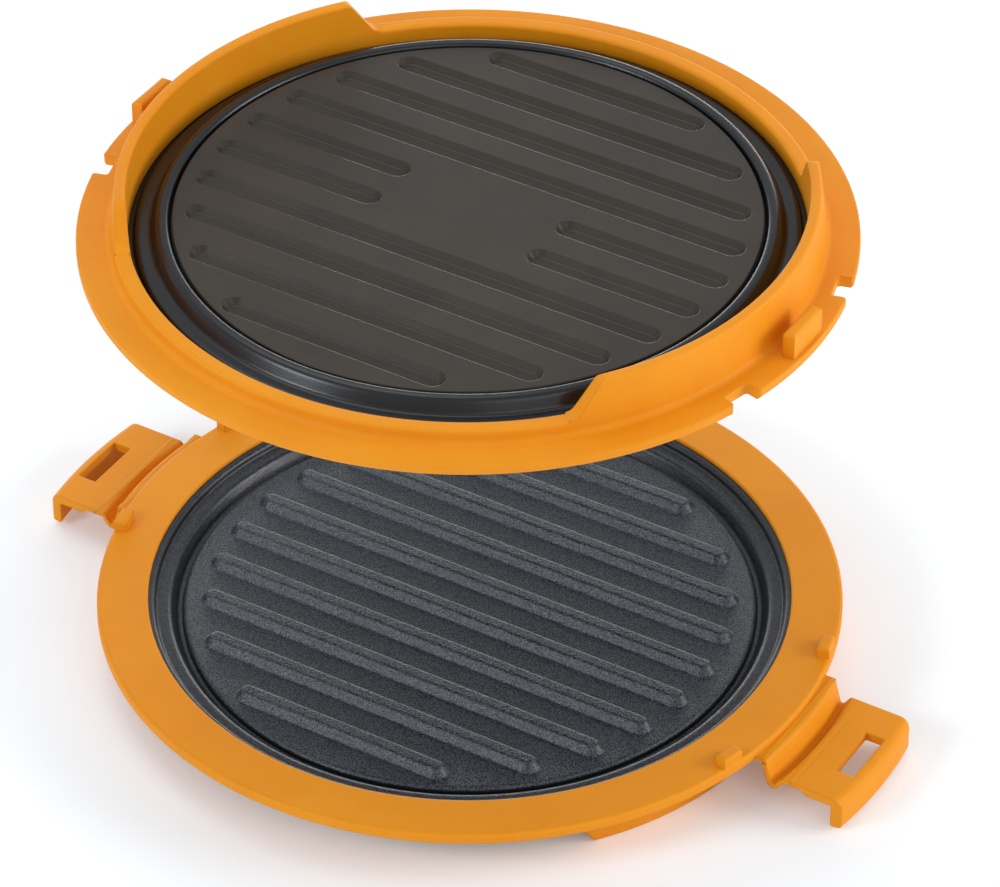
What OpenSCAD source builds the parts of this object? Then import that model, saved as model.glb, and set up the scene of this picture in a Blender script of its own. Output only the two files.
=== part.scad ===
// Round grill pan in two halves, for a microwave oven. Each half is a ribbed pan held in a moulded
// frame, with a heating pad bonded to its back. Two strap latches on the base hold the lid shut.
// The lid is drawn lifted straight off the base. Sizes are in millimetres.
// The latches lie along X. A half is drawn with its meeting face at z = 0 and its back below it.

/* [Frame] */
// Diameter of the flange's opening over the pan
mouth_d = 226; // [200:1:240]
// Width of the flange from its opening to its outer edge
flange_w = 18; // [15.5:0.5:24]
// Thickness of the flange
flange_t = 4; // [3.6:0.1:5]
// Thickness of the lip that covers the pan's rim
lip_t = 1.3; // [1:0.1:1.6]
// Radius along the flange's outer edge on the meeting side
edge_r = 1.4; // [0.6:0.1:1.8]
// Radius along the flange's other edges
small_r = 0.6; // [0.3:0.1:0.8]
// How far the collar's bore stands back from the opening
collar_back = 0.7; // [0.2:0.1:2]
// Thickness of the collar at its tip
collar_t = 3.9; // [3:0.1:5]
// How much thicker the collar is at its root
collar_draft = 2; // [0:0.1:3]
// Radius of the cove between the flange and the collar
cove_r = 2.2; // [1:0.1:3]
// Radius on the collar's rim
rim_r = 1.4; // [0.6:0.1:1.5]
// Height of the collar between the feet
low_h = 5; // [4.5:0.1:8]
// Height of the collar at the two feet
foot_h = 18; // [15:0.5:24]
// Half of the angle that each foot spans, up to its ramps
foot_angle = 36.2; // [25:0.1:50]
// Slope of the ramps at the ends of a foot
ramp_slope = 55; // [40:1:70]
// Radius at the top and the bottom of a ramp
ramp_r = 4; // [2:0.5:5]

/* [Pan] */
// Thickness of the pressed sheet
sheet_t = 1.2; // [0.8:0.1:1.4]
// Width of the rim under the frame's lip
rim_w = 3; // [2:0.1:4]
// Gap between the pan's wall and the flange's opening
wall_gap = 1; // [0.4:0.1:1.4]
// Depth of the wall from the rim to the ledge
ledge_drop = 2.7; // [2.5:0.1:3.2]
// How far the wall slopes in
wall_slope = 0.8; // [0.2:0.1:1.5]
// Width of the ledge
ledge_w = 4.7; // [4.4:0.1:6]
// Depth of the moat under the ledge
moat_drop = 4.8; // [4:0.1:6]
// Width of the moat's bottom
moat_w = 2.5; // [2.4:0.1:4]
// How far the moat's outer side slopes in
moat_slope = 2.7; // [1.6:0.1:3]
// Radius of the bends in the moat's outer side
moat_round = 1.9; // [1.2:0.1:2]
// How far the moat's inner side slopes in
floor_slope = 0.7; // [0.4:0.1:1]
// Height of the ribbed floor over the moat's bottom
floor_rise = 2.8; // [2.5:0.1:4]
// Radius of the bends in the sheet
bend_r = 1.2; // [0.9:0.1:1.3]

/* [Ribs] */
// Distance between ribs
rib_pitch = 18.66; // [16:0.02:24]
// Straight length under which an outer rib is left out
rib_shortest = 60; // [30:1:90]
// Width of a rib at its foot
rib_w = 9; // [8:0.1:11]
// Height of a rib over the floor
rib_h = 3; // [2:0.1:3.4]
// Slope of a rib's flanks
rib_slope = 52; // [46:1:70]
// Radius along a rib's shoulders
rib_r = 1.4; // [0.6:0.1:1.6]
// Floor left free between the ribs' ends and the moat
rib_margin = 5.9; // [4.5:0.1:12]

/* [Heating pad] */
// Thickness of the pad
pad_t = 2; // [1.5:0.1:2.8]
// Gap between the pad's edge and the moat's side
pad_margin = 0.6; // [0.6:0.1:3]
// Width of the grooves behind the ribs
groove_w = 9; // [6:0.1:9.6]
// Depth of these grooves
groove_h = 2.2; // [1:0.1:2.4]
// Slope of their sides
groove_slope = 48; // [44:1:70]
// Radius at the bottom of their sides
groove_round = 0.9; // [0.3:0.1:1.2]
// Length of the plain bridge in the two middle grooves
bridge_l = 58; // [30:1:90]
// Chamfer around the pad
pad_chamfer = 0.3; // [0.2:0.1:1]

/* [Latch] */
// Width of a latch
latch_w = 50; // [44:1:52]
// How far the ledge that carries the strap stands out from the flange
tab_out = 0.2; // [0.1:0.05:1]
// Thickness of the strap
strap_t = 1.6; // [1.2:0.1:1.8]
// Distance of the trough's crest past the flange
crest_out = 3.2; // [2.8:0.1:4]
// Depth of the trough under its crest
trough_h = 11.8; // [8:0.1:13]
// How far the trough's inner side leans out
trough_lean = 3.4; // [2:0.1:4.5]
// Rise of the trough's outer side
trough_rise = 6.2; // [4:0.1:7]
// How far the trough's outer side leans out
trough_out = 4; // [3:0.1:5]
// Radius at the bottom of the trough
trough_r = 1.7; // [1.2:0.1:2]
// Distance from the trough's outer side to the flap's hinge line
flap_gap = 2.4; // [2.4:0.1:3]
// Length of the flap's thin root
root_l = 5.2; // [4:0.1:7]
// Thickness of the flap
flap_t = 3.3; // [2.4:0.1:3.6]
// Length of the flap from its hinge line to its lip's face
flap_l = 20; // [19.8:0.1:24]
// Height of the flap with its lip
lip_h = 12; // [8:0.1:12.4]
// Thickness of the lip
lip_w = 3.8; // [3:0.1:4]
// Width left between the flap's slot and its lip
catch_edge = 0.7; // [0.5:0.1:1.5]
// Radius of the flap's outer corners
corner_r = 4; // [1:0.5:6]

/* [Lid fittings] */
// Height of a hook
hook_h = 9.4; // [7:0.1:12]
// Thickness of a hook
hook_t = 4.4; // [3:0.1:4.6]
// Distance of a hook's outer face from the flange's edge
hook_in = 1.8; // [0:0.1:3]
// Length of a hook
hook_l = 18.6; // [14:0.1:19]
// Radius along a hook's edges
hook_r = 1.4; // [0.4:0.1:1.4]
// Distance from a latch's side to the middle of a locating bump
bump_off = 9.8; // [8:0.1:20]
// Length of a bump along the flange
bump_l = 8.6; // [6:0.1:10]
// Width of a bump across the flange
bump_w = 4.5; // [3.5:0.1:5]
// Height of a bump
bump_h = 3.8; // [2:0.1:4]
// Distance of a bump from the flange's edge
bump_in = 0.6; // [0:0.1:1.5]
// Radius along a bump's edges
bump_r = 1; // [0.4:0.1:1.4]
// Play along the flange between a bump and its notch
notch_play = 1.2; // [0.3:0.1:2]
// Play across the flange between a bump and its notch
notch_gap = 0.5; // [0.3:0.1:0.8]
// Radius of a notch's inner corners
notch_r = 1.2; // [0.4:0.1:2]
// Width of the chamfer at a notch's mouth
notch_flare = 1; // [0.4:0.1:1.6]
// Height that the lid is lifted off the base
lid_lift = 152; // [60:1:200]

/* [Fits] */
// Play between the pan's rim and its groove
seat_play = 0.2; // [0.1:0.05:0.4]
// Film of bond between the pan's hollows and the pad
bond_gap = 0.1; // [0.05:0.01:0.2]
// Running clearance at a latch's hinge lines
hinge_play = 0.05; // [0.03:0.01:0.1]
// Play along the flap between a hook and the slot
catch_play = 1.4; // [0.8:0.1:1.4]
// Play across the flap between a hook and the slot
catch_room = 2; // [1:0.1:4]
// Room between the strap and the ledge above it
strap_play = 0.4; // [0.3:0.1:0.8]

/* [Hidden] */
$fn = 120;

silicone = [0.91, 0.58, 0.14];
coating = [0.22, 0.23, 0.26];
pad_colour = [0.27, 0.25, 0.24];

// Radii of the frame
mouth_r = mouth_d / 2;
flange_r = mouth_r + flange_w;
collar_r = mouth_r + collar_back;
tip_r = collar_r + collar_t;
root_r = tip_r + collar_draft;
foot_depth = flange_t + foot_h;
low_depth = flange_t + low_h;

// A ramp is a straight slope between two arcs of the same radius. It starts a little below the foot,
// so that its first arc crosses the foot's face
ramp_start = foot_depth + 0.03;
ramp_run = ramp_r * sin(ramp_slope);
ramp_fall = ramp_r * (1 - cos(ramp_slope));
ramp_straight = (ramp_start - low_depth - 2 * ramp_fall) / sin(ramp_slope);
ramp_l = 2 * ramp_run + ramp_straight * cos(ramp_slope);
ramp_angle = atan(ramp_l / ((collar_r + tip_r) / 2));

// Radii and depths of the pan, measured to the middle of its sheet
rim_z = -lip_t - sheet_t / 2;
pan_r = mouth_r + rim_w;
groove_r = pan_r + seat_play;
groove_z = -lip_t - sheet_t - seat_play;
wall_r = mouth_r - wall_gap - sheet_t / 2;
ledge_r = wall_r - wall_slope;
ledge_z = rim_z - ledge_drop;
moat_r = ledge_r - ledge_w;
moat_z = ledge_z - moat_drop;
floor_r = moat_r - moat_slope - moat_w - floor_slope;
floor_z = moat_z + floor_rise;
floor_top = floor_z + sheet_t / 2;
floor_back = floor_z - sheet_t / 2;
rib_end_r = floor_r - rib_margin;
rib_inset = sheet_t * tan(rib_slope / 2);
rib_span = sqrt(pow(rib_end_r, 2) - pow((rib_shortest + rib_w) / 2, 2));
rib_count = 2 * floor(rib_span / rib_pitch + 0.5);
pad_r = floor_r - sheet_t / 2 - pad_margin;

// Hinge lines of a latch: one beside the flange, one at the flap's root
tab_x = flange_r + tab_out;
socket_r = strap_t + hinge_play;
strap_drop = flange_t - strap_t;
strap_x = tab_x + socket_r;
strap_z = -strap_drop - strap_t / 2;
crest_r = flange_r + crest_out;
trough_x = crest_r + trough_lean;
trough_z = strap_z - trough_h;
brim_r = trough_x + trough_out;
flap_x = brim_r + flap_gap;
flap_z = trough_z + trough_rise;
flap_top = flap_z + strap_t / 2;
flap_r = flap_x + flap_l;
flap_bend_r = flap_t + 0.5;
catch_w = hook_t + 2 * catch_play;
catch_l = hook_l + 2 * catch_room;
catch_x = flap_r - lip_w - catch_edge - catch_w;
bump_angle = asin((latch_w / 2 + bump_off) / flange_r);
latch_turn = 2 * asin(latch_w / 2 / flange_r) + 4;

// Places of the two halves
base_z = foot_depth;
lid_z = base_z + lid_lift;
eps = 0.01;

function unit(v) = v / norm(v);

// Points of an arc about c
function arc(c, r, a0, a1, n = 5) =
    [for (i = [0 : n]) c + r * [cos(a0 + (a1 - a0) * i / n), sin(a0 + (a1 - a0) * i / n)]];

// Points of the bend of radius r at corner b of the path a, b, c
function bend(a, b, c, r, n = 5) =
    let (u = unit(a - b), w = unit(c - b))
    let (half = acos(u * w) / 2)
    let (m = b + unit(u + w) * r / sin(half))
    let (p = b + u * r / tan(half) - m, q = b + w * r / tan(half) - m)
    let (turn = atan2(p.x * q.y - p.y * q.x, p * q))
    arc(m, r, atan2(p.y, p.x), atan2(p.y, p.x) + turn, n);

// A path with its inner corners bent, given as [corner, radius] pairs
function bent(path) =
    let (last = len(path) - 1)
    [for (i = [0 : last])
        each i == 0 || i == last
            ? [path[i][0]]
            : bend(path[i - 1][0], path[i][0], path[i + 1][0], path[i][1])];

// Outline of a sheet of thickness t along a path
function sheet(path, t) =
    let (last = len(path) - 1)
    let (across = [for (i = [0 : last])
        let (d = unit(path[min(i + 1, last)] - path[max(i - 1, 0)]))
        [-d.y, d.x] * t / 2])
    concat([for (i = [0 : last]) path[i] + across[i]],
           [for (i = [last : -1 : 0]) path[i] - across[i]]);

// The rounded rim of a collar that ends at the given depth, from outside to inside
function rim(depth) =
    let (corner = [tip_r + collar_draft * (foot_depth - depth) / foot_h, -depth])
    concat(bend([root_r, -flange_t], corner, [collar_r, -depth], rim_r),
           bend(corner, [collar_r, -depth], [collar_r, 0], rim_r));

// Section of the frame at a foot
module frame_section() {
    polygon(concat(
        [[mouth_r, -lip_t]],
        arc([mouth_r + small_r, -small_r], small_r, 180, 90),
        arc([flange_r - edge_r, -edge_r], edge_r, 90, 0),
        arc([flange_r - small_r, -flange_t + small_r], small_r, 0, -90),
        bend([flange_r, -flange_t], [root_r, -flange_t], [tip_r, -foot_depth], cove_r),
        rim(foot_depth),
        [[collar_r, groove_z], [groove_r, groove_z], [groove_r, -lip_t]]));
}

// Everything past the low rim between the feet
module low_section() {
    low = rim(low_depth);
    last = low[len(low) - 1];
    polygon(concat([[root_r + 2, -foot_depth - 1], [root_r + 2, low[0].y]], low,
                   [[collar_r - 2, last.y], [collar_r - 2, -foot_depth - 1]]));
}

// Everything past a ramp, which falls from the foot's rim to the low rim
module ramp_cut() {
    turn = 90 - ramp_slope;
    top = arc([0, -ramp_start + ramp_r], ramp_r, -90, -turn);
    foot = arc([ramp_l, -low_depth - ramp_r], ramp_r, 180 - turn, 90);
    rotate([90, 0, 90])
        linear_extrude(height = 2 * root_r)
            polygon(concat([[-1, -foot_depth - 1]], top, foot,
                           [[ramp_l + 5, -low_depth], [ramp_l + 5, -foot_depth - 1]]));
}

// One of the four quarters shares its shape with the others
module each_quarter() {
    for (mx = [0, 1])
        for (my = [0, 1])
            mirror([mx, 0, 0])
                mirror([0, my, 0])
                    children();
}

// A frame without its latch fittings
module plain_frame() {
    low_angle = foot_angle + ramp_angle;
    difference() {
        rotate_extrude()
            frame_section();
        for (side = [0, 180])
            rotate(side + low_angle)
                rotate_extrude(angle = 180 - 2 * low_angle)
                    low_section();
        each_quarter()
            rotate(foot_angle)
                ramp_cut();
    }
}

// A block on the flange with rounded top edges, its base at z = 0
module block(l, w, h, r) {
    intersection() {
        rotate([90, 0, 0])
            linear_extrude(height = l, center = true)
                polygon(concat([[-w / 2, -1], [w / 2, -1]],
                               arc([w / 2 - r, h - r], r, 0, 90),
                               arc([-w / 2 + r, h - r], r, 90, 180)));
        rotate([90, 0, 90])
            linear_extrude(height = 2 * w, center = true)
                polygon(concat([[-l / 2, -1], [l / 2, -1]],
                               arc([l / 2 - r, h - r], r, 0, 90),
                               arc([-l / 2 + r, h - r], r, 90, 180)));
    }
}

// Where a latch's ledge meets the flange, up to the hinge line
module latch_tab() {
    difference() {
        translate([0, -latch_w / 2, -strap_drop - strap_t])
            cube([strap_x - eps, latch_w, strap_t]);
        translate([0, 0, -foot_depth])
            cylinder(r = flange_r - edge_r, h = foot_depth);
        socket(strap_x, -strap_drop);
    }
}

module bump() {
    translate([flange_r - bump_in - bump_w / 2, 0, 0])
        block(bump_l, bump_w, bump_h, bump_r);
}

module notch() {
    half = bump_l / 2 + notch_play;
    inner = flange_r - bump_in - bump_w - notch_gap;
    side = concat(arc([inner + notch_r, half - notch_r], notch_r, 180, 90),
                  [[flange_r - notch_flare, half], [flange_r + notch_flare, half + 2 * notch_flare]]);
    translate([0, 0, -flange_t - 1])
        linear_extrude(height = flange_t + 2)
            polygon(concat(side, [for (i = [len(side) - 1 : -1 : 0]) [side[i].x, -side[i].y]]));
}

module hook() {
    mirror([0, 0, 1])
        translate([flange_r - hook_in - hook_t / 2, 0, flange_t])
            block(hook_l, hook_t, hook_h, hook_r);
}

// Half of a bar's section, w wide at its foot and h high, standing on a stem
module bar_half(w, h, slope, r) {
    shoulder = [w / 2 - h / tan(slope), h];
    polygon(concat([[0, -sheet_t / 2], [0, h]],
                   bend([0, h], shoulder, [w / 2, 0], r, 3),
                   [[w / 2, 0], [w / 2, -sheet_t / 2]]));
}

// A bar with round ends along X
module bar(from, to, w, h, slope, r) {
    translate([from, 0, 0])
        rotate([90, 0, 90])
            linear_extrude(height = to - from) {
                bar_half(w, h, slope, r);
                mirror([1, 0])
                    bar_half(w, h, slope, r);
            }
    for (x = [from, to])
        translate([x, 0, 0])
            rotate_extrude()
                bar_half(w, h, slope, r);
}

// Distance from the middle to a rib's round end, at a distance y from the centre line
function rib_reach(y) = sqrt(pow(rib_end_r, 2) - pow(y, 2)) - rib_w / 2;

function rib_y(i) = (i - (rib_count - 1) / 2) * rib_pitch;

// All ribs, on the floor or as what fills the hollows behind it
module ribs(w, h, z) {
    for (i = [0 : rib_count - 1]) {
        reach = rib_reach(rib_y(i));
        translate([0, rib_y(i), z])
            bar(-reach, reach, w, h, rib_slope, rib_r);
    }
}

module pan() {
    path = bent([
        [[pan_r, rim_z], 0],
        [[wall_r, rim_z], bend_r],
        [[ledge_r, ledge_z], bend_r],
        [[moat_r, ledge_z], moat_round],
        [[moat_r - moat_slope, moat_z], moat_round],
        [[floor_r + floor_slope, moat_z], bend_r * 0.9],
        [[floor_r, floor_z], bend_r],
        [[0, floor_z], 0]]);
    difference() {
        union() {
            rotate_extrude()
                polygon(sheet(path, sheet_t));
            ribs(rib_w, rib_h, floor_top);
        }
        ribs(rib_w - 2 * rib_inset, rib_h, floor_back);
    }
}

// A groove behind a rib, cut from the pad's back
module groove(from, to, y) {
    translate([0, y, floor_back - pad_t])
        bar(from, to, groove_w, groove_h, groove_slope, groove_round);
}

module heat_pad() {
    difference() {
        union() {
            translate([0, 0, floor_back - pad_t]) {
                cylinder(r1 = pad_r - pad_chamfer, r2 = pad_r, h = pad_chamfer);
                translate([0, 0, pad_chamfer])
                    cylinder(r = pad_r, h = pad_t - pad_chamfer);
            }
            ribs(rib_w - 2 * (rib_inset + bond_gap), rib_h - bond_gap, floor_back);
        }
        for (i = [0 : rib_count - 1]) {
            y = rib_y(i);
            reach = rib_reach(y);
            stop = (bridge_l + groove_w) / 2;
            if (abs(y) < rib_pitch) {
                groove(-reach, -stop, y);
                groove(stop, reach, y);
            } else {
                groove(-reach, reach, y);
            }
        }
    }
}

// What lies within a latch's width between two distances from the middle
module latch_zone(from, to) {
    translate([from, -latch_w / 2, -foot_depth])
        cube([to - from, latch_w, foot_depth + 1]);
}

// The round edge that turns about a hinge line in the sheet's top face
module knuckle(x, top) {
    translate([x, 0, top])
        rotate([90, 0, 0])
            linear_extrude(height = latch_w, center = true)
                polygon(concat([[2 * eps, -eps], [2 * eps, -strap_t + eps]],
                               arc([0, -eps], strap_t - 2 * eps, 270, 180, 8)));
}

// What is cut away for a knuckle
module socket(x, top) {
    translate([x, 0, top])
        rotate([90, 0, 0])
            cylinder(r = socket_r, h = 2 * latch_w, center = true);
}

// The right latch's strap, with its trough
module strap() {
    path = bent([
        [[strap_x, strap_z], 0],
        [[crest_r, strap_z], trough_r - 0.5],
        [[trough_x, trough_z], trough_r],
        [[brim_r, flap_z], trough_r - 0.5],
        [[flap_r, flap_z], 0]]);
    difference() {
        intersection() {
            rotate(-latch_turn / 2)
                rotate_extrude(angle = latch_turn)
                    polygon(sheet(path, strap_t));
            latch_zone(0, flap_x - eps);
        }
        translate([0, -latch_w, strap_z - strap_t / 2 - strap_play])
            cube([strap_x, 2 * latch_w, 2 * strap_t]);
        socket(flap_x, flap_top);
    }
    knuckle(strap_x, -strap_drop);
}

// What lies within a flap's outline, which has two round corners
module flap_outline(depth) {
    corner = [flap_r - corner_r, latch_w / 2 - corner_r];
    side = concat([[flap_x, latch_w / 2]], arc(corner, corner_r, 90, 0));
    translate([0, 0, depth - 1])
        linear_extrude(height = lip_h + 2)
            polygon(concat(side, [for (i = [len(side) - 1 : -1 : 0]) [side[i].x, -side[i].y]]));
}

// The right latch's flap, with its slot and its bent lip
module flap() {
    under = flap_top - flap_t;
    thick_r = flap_x + root_l;
    lip_r = flap_r - lip_w;
    low = flap_top - lip_h;
    step = flap_t - strap_t;
    difference() {
        intersection() {
            rotate(-latch_turn / 2)
                rotate_extrude(angle = latch_turn)
                    polygon(concat(
                        [[strap_x, flap_top]],
                        arc([flap_r - flap_bend_r, flap_top - flap_bend_r], flap_bend_r, 90, 0, 8),
                        arc([flap_r - small_r, low + small_r], small_r, 0, -90, 3),
                        arc([lip_r + small_r, low + small_r], small_r, -90, -180, 3),
                        arc([lip_r - small_r, under - small_r], small_r, 0, 90, 3),
                        [[thick_r + step, under], [thick_r, under + step], [strap_x, under + step]]));
            flap_outline(low);
        }
        translate([catch_x, -catch_l / 2, low])
            cube([catch_w, catch_l, lip_h + 1]);
    }
    knuckle(flap_x, flap_top);
}

module base_half() {
    translate([0, 0, base_z])
        children();
}

module lid_half() {
    translate([0, 0, lid_z])
        rotate([180, 0, 0])
            children();
}

module base_frame() {
    color(silicone)
        base_half() {
            plain_frame();
            for (side = [0, 180])
                rotate(side)
                    latch_tab();
            each_quarter()
                rotate(bump_angle)
                    bump();
        }
}

module lid_frame() {
    color(silicone)
        lid_half() {
            difference() {
                plain_frame();
                each_quarter()
                    rotate(bump_angle)
                        notch();
            }
            for (side = [0, 180])
                rotate(side)
                    hook();
        }
}

module base_pan() {
    color(coating)
        base_half()
            pan();
}

module lid_pan() {
    color(coating)
        lid_half()
            pan();
}

module base_heat_pad() {
    color(pad_colour)
        base_half()
            heat_pad();
}

module lid_heat_pad() {
    color(pad_colour)
        lid_half()
            heat_pad();
}

module right_strap() {
    color(silicone)
        base_half()
            strap();
}

module right_flap() {
    color(silicone)
        base_half()
            flap();
}

module left_strap() {
    color(silicone)
        base_half()
            rotate(180)
                strap();
}

module left_flap() {
    color(silicone)
        base_half()
            rotate(180)
                flap();
}

base_frame();
base_pan();
base_heat_pad();
right_strap();
right_flap();
left_strap();
left_flap();
lid_frame();
lid_pan();
lid_heat_pad();
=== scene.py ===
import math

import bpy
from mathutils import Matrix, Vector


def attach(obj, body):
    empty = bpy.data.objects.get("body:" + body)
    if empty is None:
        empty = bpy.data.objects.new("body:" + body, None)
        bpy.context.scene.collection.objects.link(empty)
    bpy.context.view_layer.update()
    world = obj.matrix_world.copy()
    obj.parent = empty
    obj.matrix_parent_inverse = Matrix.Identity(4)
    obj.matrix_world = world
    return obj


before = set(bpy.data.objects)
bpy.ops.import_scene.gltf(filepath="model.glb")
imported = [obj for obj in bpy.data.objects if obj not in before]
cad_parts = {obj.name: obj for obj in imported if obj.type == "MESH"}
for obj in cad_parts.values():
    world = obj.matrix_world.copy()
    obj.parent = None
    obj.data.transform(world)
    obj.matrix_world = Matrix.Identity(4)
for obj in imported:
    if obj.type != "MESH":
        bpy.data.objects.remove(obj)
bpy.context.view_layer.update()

# Looks of the round two-part grill pan: the finish of its mouldings, pressed pans and heating pads,
# the pale studio around it and the camera of the photograph. Lengths are in metres.

MM = 0.001

SILICONE_NODES = ["base_frame", "right_strap", "right_flap", "left_strap", "left_flap", "lid_frame"]
RUBBER_NODES = ["base_heat_pad", "lid_heat_pad"]

# Softening of the moulded edges
MOULD_EDGE = 0.9 * MM

# Radius where the ribbed floor of the pans ends and the moat starts, and the width over which the painted
# shade of the rim recess comes in
FLOOR_EDGE = 100.0 * MM
RIM_SHADE_FADE = 4 * MM

# Skins over the bend lines of the latches: how far out each starts, its width, and the face under it
LEDGE_SEAM = (130.5 * MM, 2.1 * MM, 19.6 * MM)
STRAP_SEAM = (141.3 * MM, 2.4 * MM, 14.0 * MM)
LATCH_LENGTH = 49.6 * MM
SKIN_GAP = 0.01 * MM
SKIN_THICKNESS = 0.02 * MM
BEAD_HEIGHT = 0.12 * MM
CREASE_ANGLE = math.radians(30)

# Camera of the photograph: its turn about the pan, its height and distance, and the point it looks at
TURN = math.radians(31.25)
HEIGHT = math.radians(37.86)
DISTANCE = 2.0
RIGHT = Vector((math.cos(TURN), math.sin(TURN), 0))
AWAY = Vector((-math.sin(TURN), math.cos(TURN), 0))
AIM = RIGHT * 10.6 * MM + AWAY * 81.62 * MM + Vector((0, 0, 22 * MM))

# Its lens: focal length and width of the picture in pixels, and the width of the sensor in millimetres
FOCAL_PIXELS = 5507
PICTURE_PIXELS = 1000
SENSOR_WIDTH = 36.0

# Studio: what the paper and the air give off, and the point that the soft boxes are turned to
PAPER_COLOUR = (0.925, 0.955, 0.975, 1.0)
PAPER_GLOW = 0.12
AIR_COLOUR = (0.96, 0.98, 1.0, 1)
AIR_STRENGTH = 0.6
FLOOR_SIZE = 8.0
LAMP_TARGET = Vector((0, 0, 0.1))

# Soft boxes: name, place as right, away and up of the pan, width and height, watts, colour
WHITE = (1.0, 1.0, 1.0)
SKY = (0.84, 0.92, 1.0)
SOFT_BOXES = [
    ("top_soft_box", (-0.4, 0.6, 1.8), (1.2, 0.9), 5.6, WHITE),
    ("right_soft_box", (1.6, -0.2, 0.62), (0.9, 0.7), 13, WHITE),
    ("front_right_box", (0.7, -1.5, 1.3), (1.2, 0.9), 4.6, WHITE),
    ("front_left_box", (-1.2, -0.71, 0.82), (0.5, 0.4), 7.5, SKY),
    ("back_strip", (0, 2.2, 0.4), (2.4, 0.4), 16, WHITE),
]


def linear(hex_colour):
    """An sRGB hex colour as the linear RGBA that a socket takes."""
    parts = [int(hex_colour[i:i + 2], 16) / 255 for i in (1, 3, 5)]
    return tuple(c / 12.92 if c <= 0.04045 else ((c + 0.055) / 1.055) ** 2.4 for c in parts) + (1.0,)


def grey(value):
    """A grey of this value, as RGBA."""
    return (value, value, value, 1.0)


def add(tree, kind, inputs=None, **settings):
    """One node with its settings. An input is a value, or another node's output to link."""
    node = tree.nodes.new(kind)
    for name, value in settings.items():
        setattr(node, name, value)
    for name, value in (inputs or {}).items():
        if isinstance(value, bpy.types.NodeSocket):
            tree.links.new(value, node.inputs[name])
        else:
            node.inputs[name].default_value = value
    return node


def blank_material(name):
    """A new material without nodes, and its node tree."""
    material = bpy.data.materials.new(name)
    material.use_nodes = True
    material.node_tree.nodes.clear()
    return material, material.node_tree


def ramp(tree, factor, low, high):
    """A colour ramp between two stops, each a place and its RGBA colour."""
    node = add(tree, "ShaderNodeValToRGB", {"Fac": factor})
    for element, (place, colour) in zip(node.color_ramp.elements, (low, high)):
        element.position = place
        element.color = colour
    return node.outputs["Color"]


def noise(tree, place, scale, detail, roughness=0.5):
    """Noise with about scale patches to the metre."""
    node = add(tree, "ShaderNodeTexNoise",
               {"Vector": place, "Scale": scale, "Detail": detail, "Roughness": roughness})
    return node.outputs["Fac"]


def remap(tree, value, to_min, to_max, from_min=0.0, from_max=1.0):
    """A value moved from one range to another."""
    node = add(tree, "ShaderNodeMapRange", {"Value": value, "From Min": from_min, "From Max": from_max,
                                            "To Min": to_min, "To Max": to_max})
    return node.outputs["Result"]


def moulded_silicone(name, edge_radius):
    """Compression-moulded silicone rubber, pigmented orange: a soft matt skin, faintly translucent, with
    the fine grain of a blasted mould and slow waves left by the moulding. Its edges are softened to
    edge_radius, which is 0 for a skin too thin for that. Such a skin isn't translucent."""
    material, tree = blank_material(name)
    place = add(tree, "ShaderNodeTexCoord").outputs["Object"]
    # Cloudy pigment, about 45 mm across, and the sheen that goes with it
    cloud = noise(tree, place, 22.0, 3.0, 0.55)
    tint = ramp(tree, cloud, (0.3, linear("#E48C0C")), (0.7, linear("#EB9617")))
    sheen = ramp(tree, cloud, (0.25, grey(0.52)), (0.75, grey(0.6)))
    # Waves of about 30 mm over the softened edges, and the 0.6 mm grain of the blasted mould
    waves = noise(tree, place, 35.0, 1.0)
    broad = add(tree, "ShaderNodeBump", {"Height": waves, "Strength": 0.35, "Distance": 1.2 * MM})
    if edge_radius:
        edge = add(tree, "ShaderNodeBevel", {"Radius": edge_radius}, samples=6)
        tree.links.new(edge.outputs["Normal"], broad.inputs["Normal"])
    grain = noise(tree, place, 1600.0, 2.0, 0.6)
    fine = add(tree, "ShaderNodeBump", {"Height": grain, "Strength": 0.25, "Distance": 0.12 * MM,
                                        "Normal": broad.outputs["Normal"]})
    skin = add(tree, "ShaderNodeBsdfPrincipled",
               {"Base Color": tint, "Roughness": sheen, "IOR": 1.3,
                "Subsurface Weight": 0.12 if edge_radius else 0.0, "Subsurface Radius": (1.0, 0.35, 0.08),
                "Subsurface Scale": 2.2 * MM, "Normal": fine.outputs["Normal"]})
    add(tree, "ShaderNodeOutputMaterial", {"Surface": skin.outputs["BSDF"]})
    return material


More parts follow.
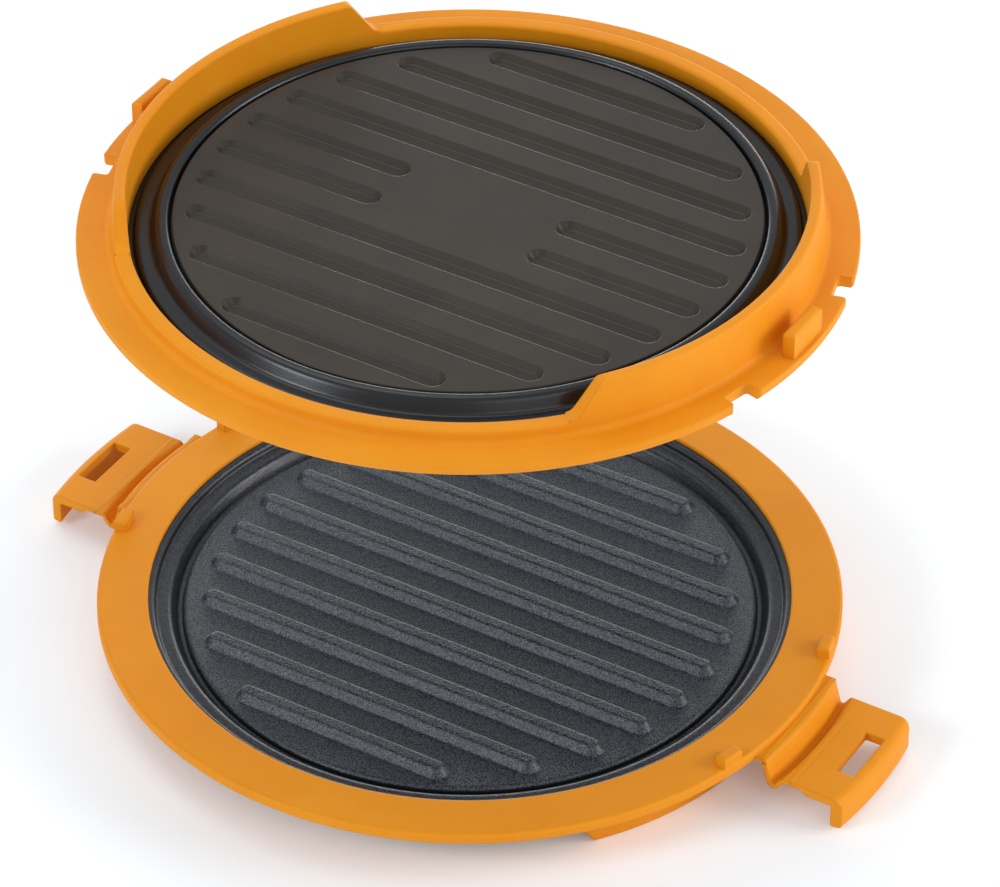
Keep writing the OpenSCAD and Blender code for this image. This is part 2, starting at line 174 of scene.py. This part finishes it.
def sprayed_coating(name, food_side):
    """Sprayed and baked PTFE coating on pressed steel: charcoal with the fine sandy grain of a reinforced
    top coat on the food side, plain blue-black and smoother on the back.
    food_side is 1 where the food side faces up, and -1 where it faces down."""
    material, tree = blank_material(name)
    coords = add(tree, "ShaderNodeTexCoord")
    place = coords.outputs["Object"]
    # Where the surface turns steep, away from the food side, the colour goes to the back's blue-black:
    # painted shade on the walls
    facing = add(tree, "ShaderNodeSeparateXYZ", {"Vector": coords.outputs["Normal"]})
    wall_shade_factor = remap(tree, facing.outputs["Z"], 0.0, 1.0, 0.28 * food_side, 0.58 * food_side)
    # Beyond the ribbed floor, towards the rim, the colour goes halfway to the back's blue-black: painted
    # shade in the recess
    flat = add(tree, "ShaderNodeVectorMath", {0: place, 1: (1.0, 1.0, 0.0)}, operation="MULTIPLY")
    radius = add(tree, "ShaderNodeVectorMath", {0: flat.outputs["Vector"]}, operation="LENGTH")
    rim_shade_factor = remap(tree, radius.outputs["Value"], 1.0, 0.5, FLOOR_EDGE, FLOOR_EDGE + RIM_SHADE_FADE)
    # Food side against back, times the painted shade of the steep walls and the rim recess
    food_side_and_shade = add(tree, "ShaderNodeMath", {0: wall_shade_factor, 1: rim_shade_factor}, operation="MULTIPLY").outputs["Value"]
    # Sand grains about 0.6 mm apart, some of them paler
    grain = noise(tree, place, 1700.0, 1.0, 0.6)
    pale = ramp(tree, grain, (0.4, linear("#0E1012")), (0.6, linear("#484F58")))
    # The back's blue-black also serves as painted shade on walls and towards the rim
    colour = add(tree, "ShaderNodeMix", {0: food_side_and_shade, 6: linear("#121417"), 7: pale}, data_type="RGBA")
    soft = add(tree, "ShaderNodeBevel", {"Radius": 1.0 * MM}, samples=8)
    bump = add(tree, "ShaderNodeBump", {"Height": grain, "Strength": remap(tree, food_side_and_shade, 0.1, 0.65),
                                        "Distance": 0.3 * MM, "Normal": soft.outputs["Normal"]})
    paint = add(tree, "ShaderNodeBsdfPrincipled",
                {"Base Color": colour.outputs[2], "Roughness": remap(tree, food_side_and_shade, 0.27, 0.34), "IOR": 1.48,
                 "Normal": bump.outputs["Normal"]})
    add(tree, "ShaderNodeOutputMaterial", {"Surface": paint.outputs["BSDF"]})
    return material


def heating_rubber():
    """Ferrite-filled silicone bonded to the pan's back: warm near-black, satin, with cloudy filler, faint
    wiping marks along the ribs and a smooth press-plate skin."""
    material, tree = blank_material("heating_rubber")
    place = add(tree, "ShaderNodeTexCoord").outputs["Object"]
    # Cloudy filler, about 33 mm across
    cloud = noise(tree, place, 30.0, 4.0, 0.6)
    tint = ramp(tree, cloud, (0.3, linear("#302A24")), (0.7, linear("#3A332C")))
    # Wiping marks, about 2 mm wide and 40 mm long
    along = add(tree, "ShaderNodeMapping", {"Vector": place, "Scale": (25.0, 500.0, 25.0)})
    marks = noise(tree, along.outputs["Vector"], 1.0, 3.0)
    wiped = remap(tree, marks, 0.36, 0.48, 0.3, 0.7)
    # Filler grain, 0.5 mm, under the smooth skin
    grain = noise(tree, place, 2000.0, 2.0)
    edge = add(tree, "ShaderNodeBevel", {"Radius": 0.5 * MM}, samples=6)
    bump = add(tree, "ShaderNodeBump", {"Height": grain, "Strength": 0.3, "Distance": 0.08 * MM,
                                        "Normal": edge.outputs["Normal"]})
    skin = add(tree, "ShaderNodeBsdfPrincipled",
               {"Base Color": tint, "Roughness": wiped, "IOR": 1.25, "Specular Tint": linear("#FFF4EA"),
                "Coat Weight": 0.35, "Coat Roughness": 0.14, "Normal": bump.outputs["Normal"],
                "Coat Normal": edge.outputs["Normal"]})
    add(tree, "ShaderNodeOutputMaterial", {"Surface": skin.outputs["BSDF"]})
    return material


def either_ray(tree, one, other):
    """1 for rays of either kind, 0 for all others."""
    path = add(tree, "ShaderNodeLightPath")
    node = add(tree, "ShaderNodeMath", {0: path.outputs[one], 1: path.outputs[other]}, operation="MAXIMUM")
    return node.outputs["Value"]


def studio_paper():
    """White paper that keeps the soft shadow and looks white to the camera and in reflections."""
    material, tree = blank_material("studio_paper")
    paper = add(tree, "ShaderNodeBsdfDiffuse", {"Color": PAPER_COLOUR})
    glow = add(tree, "ShaderNodeEmission", {"Strength": PAPER_GLOW})
    lit = add(tree, "ShaderNodeAddShader", {0: paper.outputs["BSDF"], 1: glow.outputs["Emission"]})
    seen = either_ray(tree, "Is Camera Ray", "Is Glossy Ray")
    both = add(tree, "ShaderNodeMixShader", {0: seen, 1: paper.outputs["BSDF"], 2: lit.outputs["Shader"]})
    add(tree, "ShaderNodeOutputMaterial", {"Surface": both.outputs["Shader"]})
    return material


def studio_floor():
    """The paper sheet under the base half."""
    bpy.ops.object.select_all(action="DESELECT")
    bpy.ops.mesh.primitive_plane_add(size=FLOOR_SIZE, location=(0, 0, 0))
    floor = bpy.context.active_object
    floor.name = "studio_floor"
    floor.data.materials.append(studio_paper())


def studio_air():
    """Surroundings that are pure white to the camera, and dimmer in the light they give."""
    world = bpy.data.worlds.new("studio_air")
    world.use_nodes = True
    tree = world.node_tree
    tree.nodes.clear()
    seen = either_ray(tree, "Is Camera Ray", "Is Transmission Ray")
    white = add(tree, "ShaderNodeBackground", {"Color": (1, 1, 1, 1), "Strength": 1.0})
    air = add(tree, "ShaderNodeBackground", {"Color": AIR_COLOUR, "Strength": AIR_STRENGTH})
    both = add(tree, "ShaderNodeMixShader", {0: seen, 1: air.outputs["Background"],
                                             2: white.outputs["Background"]})
    add(tree, "ShaderNodeOutputWorld", {"Surface": both.outputs["Shader"]})
    bpy.context.scene.world = world


def soft_box(name, place, size, watts, colour):
    """A rectangular light that points at the pan. Its place is seen as the camera sees the pan."""
    data = bpy.data.lights.new(name, "AREA")
    data.shape = "RECTANGLE"
    data.size, data.size_y = size
    data.energy = watts
    data.color = colour
    box = bpy.data.objects.new(name, data)
    right, away, up = place
    box.location = RIGHT * right + AWAY * away + Vector((0, 0, up))
    box.rotation_euler = (LAMP_TARGET - box.location).to_track_quat("-Z", "Y").to_euler()
    bpy.context.scene.collection.objects.link(box)


def photo_camera():
    """The long lens of the photograph."""
    data = bpy.data.cameras.new("photo_camera")
    data.sensor_width = SENSOR_WIDTH
    data.lens = FOCAL_PIXELS * SENSOR_WIDTH / PICTURE_PIXELS
    data.clip_end = 20.0
    camera = bpy.data.objects.new("photo_camera", data)
    back = -AWAY * math.cos(HEIGHT) + Vector((0, 0, math.sin(HEIGHT)))
    camera.location = AIM + back * DISTANCE
    camera.rotation_euler = (-back).to_track_quat("-Z", "Y").to_euler()
    bpy.context.scene.collection.objects.link(camera)
    bpy.context.scene.camera = camera


def paint_node(name, material):
    """Give a CAD node its material in every slot."""
    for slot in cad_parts[name].material_slots:
        slot.material = material


def seam_skin(name, body, side, seam, material):
    """The skin of silicone that runs on over a bend line of a latch: a low bead that hides the line.
    It lies on the face under it, runs outwards and rides on the body within the bend."""
    reach, width, top = seam
    bottom = top + SKIN_GAP
    bpy.ops.object.select_all(action="DESELECT")
    bpy.ops.mesh.primitive_grid_add(x_subdivisions=10, y_subdivisions=2, size=1.0)
    skin = bpy.context.active_object
    skin.name = name
    bpy.ops.object.mode_set(mode="EDIT")
    bpy.ops.mesh.select_all(action="SELECT")
    bpy.ops.transform.resize(value=(width, LATCH_LENGTH, 1.0))
    bpy.ops.transform.translate(value=(side * (reach + width / 2), 0.0, bottom))
    bpy.ops.object.mode_set(mode="OBJECT")
    bpy.ops.object.modifier_add(type="SOLIDIFY")
    sheet = skin.modifiers[0]
    sheet.thickness = SKIN_THICKNESS
    sheet.offset = 1.0
    bpy.ops.object.modifier_apply(modifier=sheet.name)
    for vertex in skin.data.vertices:
        if vertex.co.z > bottom + SKIN_THICKNESS / 2:
            across = (side * vertex.co.x - reach) / width
            vertex.co.z += BEAD_HEIGHT * math.sin(math.pi * across) ** 2
    bpy.ops.object.shade_smooth_by_angle(angle=CREASE_ANGLE)
    skin.data.materials.append(material)
    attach(skin, body)


bpy.context.scene.view_settings.view_transform = "Standard"

silicone = moulded_silicone("moulded_silicone", MOULD_EDGE)
thin_silicone = moulded_silicone("thin_moulded_silicone", 0.0)
for part in SILICONE_NODES:
    paint_node(part, silicone)
paint_node("base_pan", sprayed_coating("sprayed_coating_base", 1))
paint_node("lid_pan", sprayed_coating("sprayed_coating_lid", -1))
rubber = heating_rubber()
for part in RUBBER_NODES:
    paint_node(part, rubber)

for hand, side in (("right", 1), ("left", -1)):
    seam_skin(f"{hand}_ledge_skin", "base", side, LEDGE_SEAM, thin_silicone)
    seam_skin(f"{hand}_strap_skin", f"{hand}_strap", side, STRAP_SEAM, thin_silicone)

photo_camera()
studio_floor()
studio_air()
for box in SOFT_BOXES:
    soft_box(*box)
